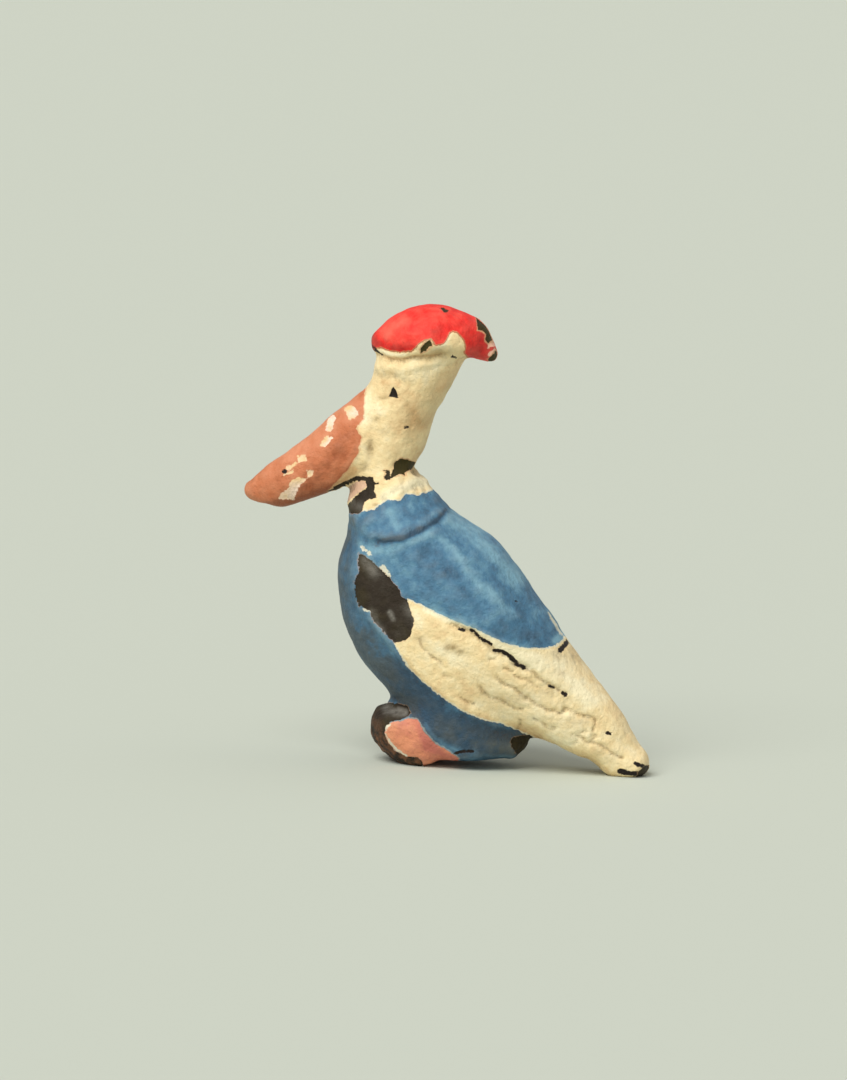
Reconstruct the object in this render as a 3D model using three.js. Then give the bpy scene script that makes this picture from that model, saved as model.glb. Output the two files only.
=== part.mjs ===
// A cast lead pelican, about 45 mm tall, standing on its feet and on the tip of its tail.
//
// Millimetres, +Z up. The bird faces -X and its left side faces -Y. The origin is under the middle of
// the casting, on the surface that it stands on.
//
// The bird is one casting, so it is one closed surface. Each form (belly, back, ruff, head, beak, cap
// and feet) is a limb: an oval section carried along a bowed spine that lies in the middle plane. The
// limbs are blended as distance fields, the carving is raised or sunk in the blended field, and the
// field is wrapped in triangles, which are small only where the surface bends.
import * as THREE from 'three';

// The pose. A reach is measured towards the tail from the middle of the neck's base, and a height from
// the surface that the bird stands on.
const neckHeight = 24.2;
const bellyReach = 8.0;
const bellyEndHeight = 1.6;
const tailReach = 23.7;
const tailTipHeight = 0.9;
const heelReach = 11.4;
const heelHeight = 2.4;

// The trunk. A depth is a limb's largest thickness in the side view, and a width is across the bird.
const bellyDepth = 15.6;
const bellyWidth = 12.8;
const backDepth = 14.4;
const backWidth = 13.6;
const backBow = 2.0;

// The ruff and head. The throat is set forward of the neck's base, and the head leans back from it.
const ruffHeight = 4.4;
const ruffDepth = 10.6;
const ruffWidth = 8.4;
const throatForward = 1.9;
const headHeight = 12.2;
const headDepth = 8.2;
const headWidth = 7.0;
const crownLean = 3.2;

// The beak. Its tip is as far forward of the middle of the face, and below it, as reach and drop say.
const beakReach = 13.3;
const beakDrop = 6.8;
const beakDepth = 8.6;
const beakWidth = 5.8;
const beakSag = 0.6;

// The cap. Its brim stands out in front of the crown, and its tail hangs over the nape.
const capLength = 11.3;
const capBrim = 4.4;
const capDepth = 6.7;
const capWidth = 8.6;
const capArch = 1.2;

// The two webbed feet are one lump. The toes are higher than the heel by footRise.
const footLength = 10.4;
const footDepth = 6.4;
const footWidth = 10.0;
const footRise = 1.7;

// The carving: how far each form stands up or is sunk, and how wide its edge is.
const wingRise = 0.55;
const wingEdge = 0.8;
const mantleRise = 0.3;
const mantleBreadth = 1.5;
const collarRise = 0.45;
const collarEdge = 0.85;
const collarBand = 3.2;
const featherGroove = 0.22;
const grooveBreadth = 0.45;
const grooveFade = 3.0;

// Radii of the concave blends between limbs, and of the edge round the flat undersides.
const trunkBlend = 1.6;
const neckBlend = 0.7;
const chinBlend = 0.35;
const faceBlend = 0.6;
const capBlend = 0.5;
const footBlend = 1.4;
const soleEdge = 0.4;

// How finely the surface is wrapped. An edge shorter than shortestCut isn't halved.
const spineSteps = 40;
const cell = 1.35;
const flatness = 0.055;
const shortestCut = 0.66;
const refinements = 3;
const settleRounds = 3;
const slopeStep = 0.005;
const leastSteepness = 0.05;

const plus = ([ax, az], [bx, bz]) => [ax + bx, az + bz];

// A smooth curve through evenly spaced values, read at count + 1 even steps.
function smoothRow(values, count) {
  const last = values.length - 1;
  const row = [];
  for (let i = 0; i <= count; i++) {
    const at = (i / count) * last;
    const k = Math.min(Math.floor(at), last - 1);
    const [p0, p1, p2, p3] = [k - 1, k, k + 1, k + 2].map((n) => values[Math.min(Math.max(n, 0), last)]);
    const t = at - k;
    const bend = 2 * p0 - 5 * p1 + 4 * p2 - p3;
    const twist = -p0 + 3 * p1 - 3 * p2 + p3;
    row.push(0.5 * (2 * p1 + (p2 - p0) * t + bend * t * t + twist * t * t * t));
  }
  return row;
}

// The nearest place on a path of points: its segment, the share of the way along it, the offset to the
// left of the path's way, and how far (x, z) lies beyond the path's ends. An endless path has no ends.
function nearestOn(path, endless) {
  const count = path.length - 1;
  const starts = path.map((p) => [p.x, p.y]).flat();
  const ways = [];
  const lengths = [];
  for (let i = 0; i < count; i++) {
    const length = path[i].distanceTo(path[i + 1]);
    ways.push((path[i + 1].x - path[i].x) / length, (path[i + 1].y - path[i].y) / length);
    lengths.push(length);
  }
  return (x, z) => {
    let best = Infinity;
    let [index, along, held] = [0, 0, 0];
    for (let i = 0; i < count; i++) {
      const dx = x - starts[2 * i];
      const dz = z - starts[2 * i + 1];
      const a = dx * ways[2 * i] + dz * ways[2 * i + 1];
      const low = endless && i === 0 ? a : 0;
      const high = endless && i === count - 1 ? a : lengths[i];
      const h = a < low ? low : a > high ? high : a;
      const ex = dx - ways[2 * i] * h;
      const ez = dz - ways[2 * i + 1] * h;
      const d = ex * ex + ez * ez;
      if (d < best) {
        best = d;
        index = i;
        along = a;
        held = h;
      }
    }
    const [ex, ez] = [x - starts[2 * index], z - starts[2 * index + 1]];
    const offset = ez * ways[2 * index] - ex * ways[2 * index + 1];
    const beyond = (index === 0 && along < held) || (index === count - 1 && along > held) ? along - held : 0;
    return { index, share: held / lengths[index], offset, distance: Math.sqrt(best), beyond };
  };
}

// A limb: its distance field and the box that holds it. left and right are evenly spaced shares of half
// the depth, to the left and right of the way from one end to the other, and side is shares of half the
// width. noses are the lengths of its two round ends.
function limb({ from, to, bow = 0, depth, width, left, right, side, noses }) {
  const start = new THREE.Vector2(...from);
  const end = new THREE.Vector2(...to);
  const way = end.clone().sub(start).normalize();
  const middle = start.clone().add(end).multiplyScalar(0.5);
  const control = new THREE.Vector2(middle.x - way.y * 2 * bow, middle.y + way.x * 2 * bow);
  const spine = new THREE.QuadraticBezierCurve(start, control, end).getSpacedPoints(spineSteps);
  const lefts = smoothRow(left, spineSteps).map((share) => (share * depth) / 2);
  const rights = smoothRow(right, spineSteps).map((share) => (share * depth) / 2);
  const sides = smoothRow(side, spineSteps).map((share) => (share * width) / 2);
  const nearest = nearestOn(spine, false);
  const field = (x, y, z) => {
    const { index: i, share, offset, distance, beyond } = nearest(x, z);
    const across = beyond === 0 ? distance : Math.abs(offset);
    const radii = offset > 0 ? lefts : rights;
    const high = radii[i] + (radii[i + 1] - radii[i]) * share;
    const wide = sides[i] + (sides[i + 1] - sides[i]) * share;
    const long = beyond < 0 ? noses[0] : noses[1];
    const [h, w, l] = [across / high, y / wide, beyond / long];
    const size = Math.sqrt(h * h + w * w + l * l);
    const slope = Math.sqrt((h / high) ** 2 + (w / wide) ** 2 + (l / long) ** 2);
    return size < 1e-6 ? -Math.min(high, wide) : ((size - 1) * size) / slope;
  };
  const farthest = Math.max(...lefts, ...rights, ...noses);
  const flatBox = new THREE.Box2().setFromPoints(spine).expandByScalar(farthest);
  const halfWidth = Math.max(...sides);
  const box = new THREE.Box3(
    new THREE.Vector3(flatBox.min.x, -halfWidth, flatBox.min.y),
    new THREE.Vector3(flatBox.max.x, halfWidth, flatBox.max.y),
  );
  return { field, box };
}

// The union of two fields, with a fillet of about radius k where they meet.
function blend(a, b, k) {
  const near = Math.max(k - Math.abs(a - b), 0) / k;
  return Math.min(a, b) - (near * near * k) / 4;
}

const ease = (t) => {
  const s = Math.min(Math.max(t, 0), 1);
  return s * s * (3 - 2 * s);
};

const bell = (t) => Math.exp(-t * t);

// The pose, worked out from the driving dimensions, as places [x, z] in the middle plane.
const neckBase = [0, neckHeight];
const throat = plus(neckBase, [-throatForward, ruffHeight]);
const crown = plus(throat, [crownLean, headHeight]);
const face = plus(throat, [crownLean * 0.08, headHeight * 0.28]);
const beakTip = plus(face, [-beakReach, -beakDrop]);
const bellyEnd = [bellyReach, bellyEndHeight];
const tailTip = [tailReach, tailTipHeight];
const heel = [heelReach, heelHeight];
const toes = plus(heel, [-footLength, footRise]);
const capFront = plus(crown, [-capBrim, -0.5]);
const capTail = plus(crown, [capLength - capBrim, -0.8]);

const forms = {
  belly: limb({
    from: plus(neckBase, [-0.6, -0.2]),
    to: bellyEnd,
    depth: bellyDepth,
    width: bellyWidth,
    left: [0.36, 0.7, 0.84, 0.9, 0.9, 0.86, 0.8, 0.74, 0.62],
    right: [0.62, 0.88, 0.98, 1.02, 0.98, 0.83, 0.65, 0.5, 0.42],
    side: [0.62, 0.8, 0.93, 0.99, 1.0, 0.97, 0.92, 0.86, 0.76],
    noses: [1.5, 1.5],
  }),
  back: limb({
    from: plus(neckBase, [1.4, -3.0]),
    to: tailTip,
    bow: -backBow,
    depth: backDepth,
    width: backWidth,
    left: [0.66, 0.9, 0.92, 0.88, 0.82, 0.72, 0.6, 0.45, 0.17],
    right: [0.8, 0.9, 0.93, 0.87, 0.7, 0.49, 0.28, 0.22, 0.34],
    side: [0.66, 0.85, 0.96, 0.96, 0.86, 0.7, 0.54, 0.4, 0.26],
    noses: [2.6, 0.9],
  }),
  ruff: limb({
    from: throat,
    to: neckBase,
    depth: ruffDepth,
    width: ruffWidth,
    left: [0.45, 0.6, 0.6, 0.62],
    right: [0.58, 0.74, 0.85, 0.94],
    side: [0.72, 0.86, 0.96, 1.0],
    noses: [0.8, 2.0],
  }),
  head: limb({
    from: crown,
    to: throat,
    depth: headDepth,
    width: headWidth,
    left: [1.06, 1.0, 0.91, 0.79, 0.81, 0.75, 0.6],
    right: [1.02, 0.97, 0.9, 0.93, 0.86, 0.78, 0.72],
    side: [1.0, 0.98, 0.95, 0.93, 0.92, 0.9, 0.86],
    noses: [1.5, 0.7],
  }),
  beak: limb({
    from: face,
    to: beakTip,
    bow: beakSag,
    depth: beakDepth,
    width: beakWidth,
    left: [1.0, 0.88, 0.68, 0.62, 0.59, 0.54, 0.18],
    right: [1.16, 1.04, 0.92, 0.77, 0.64, 0.5, 0.22],
    side: [0.9, 0.98, 0.95, 0.86, 0.76, 0.6, 0.26],
    noses: [0.5, 0.4],
  }),
  cap: limb({
    from: capFront,
    to: capTail,
    bow: capArch,
    depth: capDepth,
    width: capWidth,
    left: [0.38, 0.75, 0.94, 1.0, 0.93, 0.81, 0.28],
    right: [0.18, 0.42, 0.58, 0.5, 0.41, 0.3, 0.18],
    side: [0.34, 0.76, 0.96, 1.0, 0.84, 0.56, 0.28],
    noses: [0.5, 0.5],
  }),
  foot: limb({
    from: toes,
    to: heel,
    depth: footDepth,
    width: footWidth,
    left: [0.5, 0.66, 0.74, 0.7, 0.55],
    right: [1.44, 1.62, 1.36, 0.96, 0.6],
    side: [0.94, 1.02, 0.96, 0.82, 0.62],
    noses: [2.9, 2.1],
  }),
};

// A carved line in the side view, from places [x, z] counted from the neck's base. It gives the distance
// of (x, z) to its left, negative on its right.
function carvedLine(places) {
  const knots = places.map((place) => new THREE.Vector2(...plus(neckBase, place)));
  const nearest = nearestOn(new THREE.SplineCurve(knots).getPoints(3 * knots.length), true);
  return (x, z) => {
    const { offset, distance } = nearest(x, z);
    return offset < 0 ? -distance : distance;
  };
}

// The front and lower edge of the wing, from the shoulder to the tip of the tail.
const wingLine = carvedLine([
  [-3.4, -1.0], [-4.3, -4.0], [-4.0, -7.0], [-2.9, -9.3], [-0.1, -12.2], [3.4, -15.5], [7.3, -18.2],
  [11.6, -20.3], [17.0, -22.4], [21.0, -24.8],
]);

// The long groove between the upper and lower feathers of the wing. It starts at groovePlace.
const groovePlace = [-0.4, -6.2];
const featherLine = carvedLine([
  groovePlace, [2.2, -7.4], [5.6, -9.0], [9.0, -11.1], [12.6, -13.5], [16.4, -16.1], [20.1, -18.8],
]);

// The soft ridge along the shoulder, and the lower edge of the collar.
const mantleLine = carvedLine([[1.2, -2.4], [4.4, -3.8], [8.0, -6.6], [11.4, -9.4], [14.4, -12.2]]);
const collarLine = carvedLine([[-5.6, 0], [-2.7, -2.0], [-0.1, -2.4], [2.9, -1.5], [4.8, 0.1], [6.2, 2.2]]);

// The whole casting as one distance field, negative inside the lead.
function casting(x, y, z) {
  const trunk = blend(forms.belly.field(x, y, z), forms.back.field(x, y, z), trunkBlend);
  const wing = wingRise * ease(0.5 + wingLine(x, z) / wingEdge);
  const mantle = mantleRise * bell(mantleLine(x, z) / mantleBreadth);
  const grooveDepth = featherGroove * ease((x - groovePlace[0]) / grooveFade);
  const groove = grooveDepth * bell(featherLine(x, z) / grooveBreadth);
  const body = blend(trunk - wing - mantle + groove, forms.foot.field(x, y, z), footBlend);
  const above = collarLine(x, z);
  const collar = collarRise * ease(0.5 + above / collarEdge) * ease(1 + (collarEdge - above) / collarBand);
  const neck = blend(body, forms.ruff.field(x, y, z), neckBlend) - collar;
  const head = blend(forms.head.field(x, y, z), forms.beak.field(x, y, z), faceBlend);
  const bird = blend(blend(neck, head, chinBlend), forms.cap.field(x, y, z), capBlend);
  return -blend(-bird, z, soleEdge);
}

const span = (p, q) => Math.sqrt((p[0] - q[0]) ** 2 + (p[1] - q[1]) ** 2 + (p[2] - q[2]) ** 2);

// Moves a point onto the surface, along the slope of the field, by no more than the limit.
function settle(point, limit) {
  let [x, y, z] = point;
  for (let round = 0; round < settleRounds; round++) {
    const value = casting(x, y, z);
    const sx = (casting(x + slopeStep, y, z) - value) / slopeStep;
    const sy = (casting(x, y + slopeStep, z) - value) / slopeStep;
    const sz = (casting(x, y, z + slopeStep) - value) / slopeStep;
    const push = value / Math.max(sx * sx + sy * sy + sz * sz, leastSteepness);
    [x, y, z] = [x - push * sx, y - push * sy, z - push * sz];
  }
  const at = [x, y, z];
  const moved = span(at, point);
  return moved > limit ? point.map((c, i) => c + ((at[i] - c) * limit) / moved) : at;
}

// Two triangles from a ring of four points, cut along the shorter diagonal.
function splitRing(points, [a, b, c, d]) {
  const firstIsShorter = span(points[a], points[c]) <= span(points[b], points[d]);
  return firstIsShorter ? [[a, b, c], [a, c, d]] : [[b, c, d], [b, d, a]];
}

// The corners of the grid of cells that holds the whole casting, even about the middle plane.
function gridBox() {
  const box = new THREE.Box3();
  for (const form of Object.values(forms)) box.union(form.box);
  box.expandByScalar(wingRise + mantleRise + collarRise + trunkBlend + cell);
  const across = Math.ceil(box.max.y / cell) * cell;
  return { low: [box.min.x, -across, -2 * cell], high: [box.max.x, across, box.max.z] };
}

// Wraps the field in the grid, with one point in each cell that the surface crosses.
function wrap({ low, high }) {
  const counts = low.map((c, i) => Math.ceil((high[i] - c) / cell));
  const strides = [1, counts[0] + 1, (counts[0] + 1) * (counts[1] + 1)];
  const key = (i, j, k) => i + j * strides[1] + k * strides[2];
  const values = new Float64Array(strides[2] * (counts[2] + 1));
  for (let k = 0; k <= counts[2]; k++) {
    for (let j = 0; j <= counts[1]; j++) {
      for (let i = 0; i <= counts[0]; i++) {
        values[key(i, j, k)] = casting(low[0] + i * cell, low[1] + j * cell, low[2] + k * cell);
      }
    }
  }
  const bit = (c, axis) => (c >> axis) & 1;
  const edges = [];
  for (let a = 0; a < 8; a++) {
    for (let axis = 0; axis < 3; axis++) {
      if (!bit(a, axis)) edges.push([a, axis]);
    }
  }
  const corner = (base, c) => base + bit(c, 0) + bit(c, 1) * strides[1] + bit(c, 2) * strides[2];
  const points = [];
  const pointIn = new Map();
  for (let k = 0; k < counts[2]; k++) {
    for (let j = 0; j < counts[1]; j++) {
      for (let i = 0; i < counts[0]; i++) {
        const base = key(i, j, k);
        const sum = [0, 0, 0];
        let crossings = 0;
        for (const [a, axis] of edges) {
          const from = values[corner(base, a)];
          const to = values[corner(base, a | (1 << axis))];
          if (from < 0 === to < 0) continue;
          for (let n = 0; n < 3; n++) sum[n] += bit(a, n);
          sum[axis] += from / (from - to);
          crossings++;
        }
        if (!crossings) continue;
        const start = [i, j, k].map((n, axis) => low[axis] + (n + sum[axis] / crossings) * cell);
        pointIn.set(base, points.length);
        points.push(settle(start, cell / 2));
      }
    }
  }
  const faces = [];
  for (let k = 1; k < counts[2]; k++) {
    for (let j = 1; j < counts[1]; j++) {
      for (let i = 1; i < counts[0]; i++) {
        const base = key(i, j, k);
        for (let axis = 0; axis < 3; axis++) {
          const outside = values[base] >= 0;
          if (outside === values[base + strides[axis]] >= 0) continue;
          const s = strides[(axis + 1) % 3];
          const t = strides[(axis + 2) % 3];
          const ring = [base, base - s, base - s - t, base - t].map((n) => pointIn.get(n));
          if (outside) ring.reverse();
          faces.push(...splitRing(points, ring));
        }
      }
    }
  }
  return { points, faces };
}

// Halves each edge whose middle is off the surface, and the longest edge of every face that one is in.
function refine({ points, faces }) {
  const name = (a, b) => (a < b ? a * 1e6 + b : b * 1e6 + a);
  const midpoint = (a, b) => points[a].map((c, i) => (c + points[b][i]) / 2);
  const middles = new Map();
  const tested = new Set();
  const halve = (a, b) => {
    if (middles.has(name(a, b))) return;
    middles.set(name(a, b), points.length);
    points.push(settle(midpoint(a, b), cell / 3));
  };
  for (const face of faces) {
    face.forEach((a, i) => {
      const b = face[(i + 1) % 3];
      if (tested.has(name(a, b)) || span(points[a], points[b]) < shortestCut) return;
      tested.add(name(a, b));
      const middle = midpoint(a, b);
      if (span(middle, settle(middle, cell)) > flatness) halve(a, b);
    });
  }
  for (let changed = true; changed;) {
    changed = false;
    for (const face of faces) {
      const sides = face.map((p, i) => [p, face[(i + 1) % 3]]);
      if (!sides.some(([p, q]) => middles.has(name(p, q)))) continue;
      const lengths = sides.map(([p, q]) => span(points[p], points[q]));
      const longest = sides[lengths.indexOf(Math.max(...lengths))];
      if (middles.has(name(...longest))) continue;
      halve(...longest);
      changed = true;
    }
  }
  const made = [];
  for (const face of faces) {
    const cuts = face.map((p, i) => middles.get(name(p, face[(i + 1) % 3])));
    const count = cuts.filter((m) => m !== undefined).length;
    const uncut = cuts.indexOf(undefined);
    const first = count === 2 ? (uncut + 1) % 3 : Math.max(cuts.findIndex((m) => m !== undefined), 0);
    const [a, b, c] = [0, 1, 2].map((n) => face[(first + n) % 3]);
    const [ab, bc, ca] = [0, 1, 2].map((n) => cuts[(first + n) % 3]);
    if (count === 0) made.push(face);
    if (count === 1) made.push([a, ab, c], [ab, b, c]);
    if (count === 2) made.push([ab, b, bc], ...splitRing(points, [a, ab, bc, c]));
    if (count === 3) made.push([a, ab, ca], [ab, b, bc], [bc, c, ca], [ab, bc, ca]);
  }
  return { points, faces: made };
}

// Moves each point half way to the middle of its neighbours, then back onto the surface.
function relax({ points, faces }) {
  const sums = points.map(() => [0, 0, 0]);
  const counts = points.map(() => 0);
  for (const face of faces) {
    face.forEach((p, i) => {
      const neighbour = points[face[(i + 1) % 3]];
      sums[p] = sums[p].map((c, axis) => c + neighbour[axis]);
      counts[p]++;
    });
  }
  const middles = sums.map((sum, i) => sum.map((c, axis) => (c / counts[i] + points[i][axis]) / 2));
  return { points: middles.map((middle) => settle(middle, cell / 3)), faces };
}

function castingGeometry() {
  let surface = relax(wrap(gridBox()));
  for (let round = 0; round < refinements; round++) surface = refine(surface);
  surface = relax(surface);
  const geometry = new THREE.BufferGeometry();
  geometry.setAttribute('position', new THREE.Float32BufferAttribute(surface.points.flat(), 3));
  geometry.setIndex(surface.faces.flat());
  geometry.computeBoundingBox();
  const { min, max } = geometry.boundingBox;
  geometry.translate(-(min.x + max.x) / 2, -(min.y + max.y) / 2, -min.z);
  geometry.computeVertexNormals();
  return geometry;
}

const paint = new THREE.MeshStandardMaterial({ color: 0x4f7fa3, roughness: 0.5, metalness: 0.05 });
const pelican = new THREE.Mesh(castingGeometry(), paint);
pelican.name = 'pelican_casting';

const figurine = new THREE.Group();
figurine.add(pelican);

export default figurine;
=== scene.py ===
"""A painted lead pelican: its fine surface, its chipped paint, the studio and the camera.

Lengths are millimetres until an object is made, and then metres. A patch of paint is outlined by named
pixels of the reference picture, seen from the bird's left. A point on the right side is treated as its
mirror image, so both sides carry the same paint, and each side has chips of its own.
"""

import math

import bmesh
import bpy
import numpy as np
from mathutils import Matrix, Vector, noise


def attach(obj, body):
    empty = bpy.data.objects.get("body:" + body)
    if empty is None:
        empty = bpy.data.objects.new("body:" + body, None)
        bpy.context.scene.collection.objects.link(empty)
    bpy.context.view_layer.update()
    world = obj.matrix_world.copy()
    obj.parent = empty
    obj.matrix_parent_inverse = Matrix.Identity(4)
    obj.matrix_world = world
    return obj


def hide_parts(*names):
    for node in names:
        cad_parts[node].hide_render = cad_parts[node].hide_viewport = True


MM = 0.001

# The view of the reference picture.
PICTURE_SIZE = (847, 1080)
PX_PER_MM = 10.312
ORIGIN_PX = (440.3, 762.4)
AZIMUTH, ELEVATION, ROLL = (math.radians(a) for a in (6.0, 8.0, 2.79))
CAMERA_DISTANCE = 2500.0
CAMERA_CLIP_START = 0.01
SENSOR = 36.0

# The fine surface. Grooves are cut wider and deeper by the gain than their marks say.
MERGE_DISTANCE = 0.0001
VOXEL = 0.185
SMOOTHINGS = 7
PAINT_THICKNESS = 0.09
PALE_CHIP_SHARE = 0.5
CHIP_EDGE = 0.12
GROOVE_GAIN = 1.3
EYE_DEPTH, EYE_SLOPE_PX = 0.12, 2
LUMP_SIZE, LUMP_HEIGHT = 2.4, 0.06
GRAIN_SIZE, GRAIN_HEIGHT = 0.9, 0.045
WRINKLE_DEPTH = 0.05
WAVER_SIZE, WAVER_PX = 1.0, 2.6
PITTED_SIZE, PITTED_HEIGHT = 0.6, 0.07
RAGGED_SIZE, RAGGED_REACH = 0.55, 0.1
HOLLOW_PASSES, HOLLOW_RISE = 6, 0.03

# Each smooth noise has a seed, and a seed moves the noise this far.
LUMP_SEED, GRAIN_SEED, RAGGED_SEED, WRINKLE_SEED, WAVER_SEEDS, PITTED_SEED = 1, 2, 3, 4, (5, 6), 7
SEED_SHIFT = (7.3, 3.1, 5.7)

# How far a side's paint runs over the middle, and how large a value a paint map keeps.
SIDE_OVERLAP = 0.15
MAP_LIMIT = 3

# Relief fades out below this height, and what lies this low and faces down is the flat underside.
FOOT_FADE = 0.6
SOLE_HEIGHT, SOLE_NORMAL = 0.1, -0.8

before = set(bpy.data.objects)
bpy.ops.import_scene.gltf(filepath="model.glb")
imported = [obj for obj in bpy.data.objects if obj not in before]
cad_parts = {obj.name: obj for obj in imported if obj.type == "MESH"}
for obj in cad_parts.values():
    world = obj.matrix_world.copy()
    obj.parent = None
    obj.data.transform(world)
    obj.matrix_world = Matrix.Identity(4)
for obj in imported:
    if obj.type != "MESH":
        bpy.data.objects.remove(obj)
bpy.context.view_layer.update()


def view_axes():
    """The picture's right, up and towards-the-viewer directions, as rows."""
    right = np.array((math.cos(AZIMUTH), math.sin(AZIMUTH), 0.0))
    back = np.array(
        (
            math.sin(AZIMUTH) * math.cos(ELEVATION),
            -math.cos(AZIMUTH) * math.cos(ELEVATION),
            math.sin(ELEVATION),
        )
    )
    up = np.cross(back, right)
    turned_right = right * math.cos(ROLL) + up * math.sin(ROLL)
    turned_up = up * math.cos(ROLL) - right * math.sin(ROLL)
    return np.stack((turned_right, turned_up, back))


AXES = view_axes()


def to_picture(points):
    """Where points in millimetres fall in the picture, in pixels, as if all were on the left side."""
    left = points * (1, -1, 1)
    left[:, 1] = -np.abs(points[:, 1])
    middle = np.array(PICTURE_SIZE) / 2
    from_middle = left @ AXES[:2].T * (PX_PER_MM, -PX_PER_MM) + ORIGIN_PX - middle
    nearness = CAMERA_DISTANCE / (CAMERA_DISTANCE - left @ AXES[2])
    return middle + from_middle * nearness[:, None]


# Paint areas, as outlines in the picture. Outlines run past the silhouette where the paint does.
CAP_RED = [
    (350, 350), (374, 350), (377, 346), (388, 349.5), (400, 351.5), (412, 350), (417.5, 344), (425, 339),
    (431, 338), (435, 344.5), (442, 344), (447, 339), (449, 332), (453.5, 330), (459.5, 334), (464, 339),
    (466, 345), (465, 352), (468, 357), (475, 361), (487, 364), (520, 366), (520, 280), (350, 280),
]
BEAK_ORANGE = [
    (367, 370), (367, 386), (364.5, 398), (364, 408), (363.5, 419), (356, 428.5), (361, 437), (359, 450),
    (354, 461), (347, 470), (339, 479.5), (327, 491), (327, 520), (220, 520), (220, 370),
]
COAT_BLUE = [
    (340, 509), (348, 510), (362.5, 511.5), (374, 510), (382, 503.5), (387, 500), (399.5, 501), (406, 493.5),
    (418, 495.5), (427.5, 492), (436, 488), (460, 478), (580, 560), (556, 606), (551, 612), (558, 625),
    (564.5, 633), (563, 639.5), (555, 646), (541, 648), (523, 647.5), (505.5, 643.5), (488, 634.5),
    (470.5, 626.5), (453, 620.5), (437, 612.5), (421, 604.5), (407.5, 598), (394, 644), (407, 666.5),
    (421.5, 681), (440, 696), (460.5, 710.5), (481, 719.5), (501, 723.5), (517.5, 731), (532, 737),
    (545, 748), (520, 800), (330, 800), (300, 700), (310, 560),
]
FOOT_SALMON = [
    (407, 718.5), (417, 719), (421.5, 727), (428, 736), (436, 744), (448, 751), (458.5, 758),
    (458, 764), (442, 768), (424, 768), (421, 761), (417, 757.5), (407, 757), (395, 751), (388, 743),
    (384, 733), (386, 726), (392, 722), (400, 721.5),
]

# Chips down to the lead.
CAP_FRONT_CHIP = [(421, 352.5), (420.5, 349.5), (426, 342), (431, 340), (432, 345.5), (427, 349.5)]
CAP_TOP_CHIP = [(440.5, 307), (450, 309.5), (447, 312.5), (443, 311.5)]
CAP_REAR_CHIP = [
    (477, 318), (486, 321), (493, 330), (496, 338), (489, 343.5), (485.5, 340), (486.5, 334),
    (483, 330.5), (478.5, 329.5),
]
CAP_TIP_CHIP = [(488, 360), (493, 355), (497, 350), (503, 352), (500, 364), (490, 365)]
CHIN_CHIP = [
    (327.5, 491.5), (344.5, 482), (355, 477.5), (364.5, 476), (372.5, 478), (374.5, 482), (380.5, 483),
    (374, 485), (374, 491.5), (376, 497), (364.5, 501), (362.5, 510.5), (358, 513.5), (345, 513),
    (345, 507.5), (356.5, 495.5), (367, 487.5), (365, 481), (356.5, 481), (347, 485), (334, 494),
]
NAPE_CHIP = [
    (382, 470), (390, 471), (390.5, 475.5), (394, 468.5), (394, 463.5), (402, 458.5), (411.5, 461),
    (418, 463.5), (413, 468.5), (406, 471.5), (406, 475), (400.5, 474), (394, 477), (387, 480),
    (382, 478), (386, 474),
]
WING_CHIP = [
    (359, 552.5), (370, 559.5), (379.5, 569), (389, 577.5), (395.5, 585), (400.5, 591.5), (402, 598),
    (406.5, 599), (409, 606), (411.5, 612.5), (414, 620.5), (412.5, 628.5), (410, 637), (403.5, 641),
    (395, 642.5), (387.5, 636.5), (381, 628.5), (373.5, 622), (369.5, 610.5), (359, 606), (355.5, 598),
    (354, 582), (359, 571), (357.5, 561.5),
]
TOE_RIM = [
    (390, 703), (372, 702), (360, 722), (364, 745), (382, 765), (400, 776), (420, 776), (424, 768),
    (421, 761), (417, 757.5), (407, 757), (395, 751), (388, 743), (384, 733), (386, 726), (392, 721),
    (405, 718.5), (411, 713), (407, 706), (399, 704),
]
HEEL_CHIP = [
    (514, 737), (530, 735), (535, 742), (528, 754), (519, 759), (516, 753), (512, 747), (511, 741),
]
TAIL_CORNER = [(639, 771), (644, 767), (654, 763), (656, 774), (645, 779), (636, 777.5)]
FAR_WING_CHIP = [
    (370, 586), (377, 587), (381, 592), (388, 597), (391, 606), (396, 612), (397, 622), (393, 631),
    (386, 630), (381, 622), (375, 620), (373, 611), (367, 606), (368, 598), (365, 593),
]
FAR_NECK_CHIP = [
    (368, 463), (376, 458), (384, 460), (395, 458), (401, 462), (396, 466), (388, 467), (386, 473),
    (377, 475), (371, 471), (364, 470),
]
FAR_BACK_CHIP = [
    (468, 554), (475, 556), (477, 562), (484, 566), (486, 571), (478, 570), (473, 564), (467, 561),
]
BARE_CHIPS = [
    CAP_FRONT_CHIP, CAP_TOP_CHIP, CAP_REAR_CHIP, CAP_TIP_CHIP, CHIN_CHIP, NAPE_CHIP, WING_CHIP, TOE_RIM,
    HEEL_CHIP, TAIL_CORNER,
]
FAR_BARE_CHIPS = [FAR_WING_CHIP, FAR_NECK_CHIP, FAR_BACK_CHIP, TOE_RIM, HEEL_CHIP]

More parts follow.
